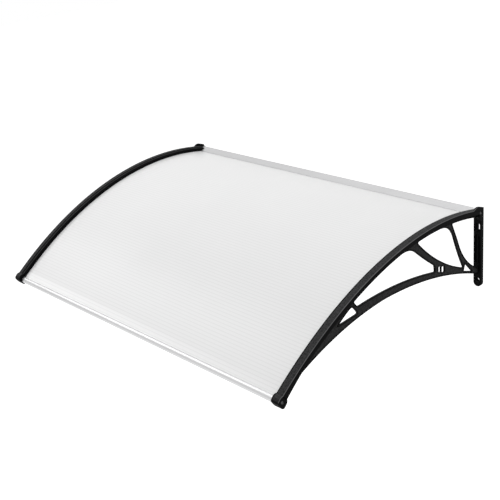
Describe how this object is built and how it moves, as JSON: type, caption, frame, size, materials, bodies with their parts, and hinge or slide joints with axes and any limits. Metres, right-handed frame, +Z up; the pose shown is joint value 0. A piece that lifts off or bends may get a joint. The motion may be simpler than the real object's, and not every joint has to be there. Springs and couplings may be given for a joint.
{
  "type": "door canopy",
  "caption": "Bowed twin-wall polycarbonate door canopy held in black moulded side brackets with openwork webs and wall plates, with aluminium bars along its front and rear edges.",
  "frame": {"origin": "on the wall plane, midway between the brackets, level with the rear end of the rail line, on the rear bar's back face", "axes": "+X along the wall to the right as seen from in front, +Y into the wall, +Z up"},
  "size_m": [1.2, 0.835, 0.2651],
  "materials": {
    "bracket_plastic": "black moulded plastic with a fine satin grain",
    "sheet_polycarbonate": "pale translucent twin-wall polycarbonate, smooth skins with fine ribs showing through",
    "bar_aluminium": "pale satin anodised extrusion",
    "screw_steel": "dark zinc-coated self-tapping screw"
  },
  "bodies": {
    "root": {"left_bracket": "bracket_plastic", "right_bracket": "bracket_plastic", "canopy_sheet": "sheet_polycarbonate", "front_bar": "bar_aluminium", "rear_bar": "bar_aluminium", "front_left_screw": "screw_steel", "front_right_screw": "screw_steel", "rear_left_screw": "screw_steel", "rear_right_screw": "screw_steel"}
  },
  "joints": []
}
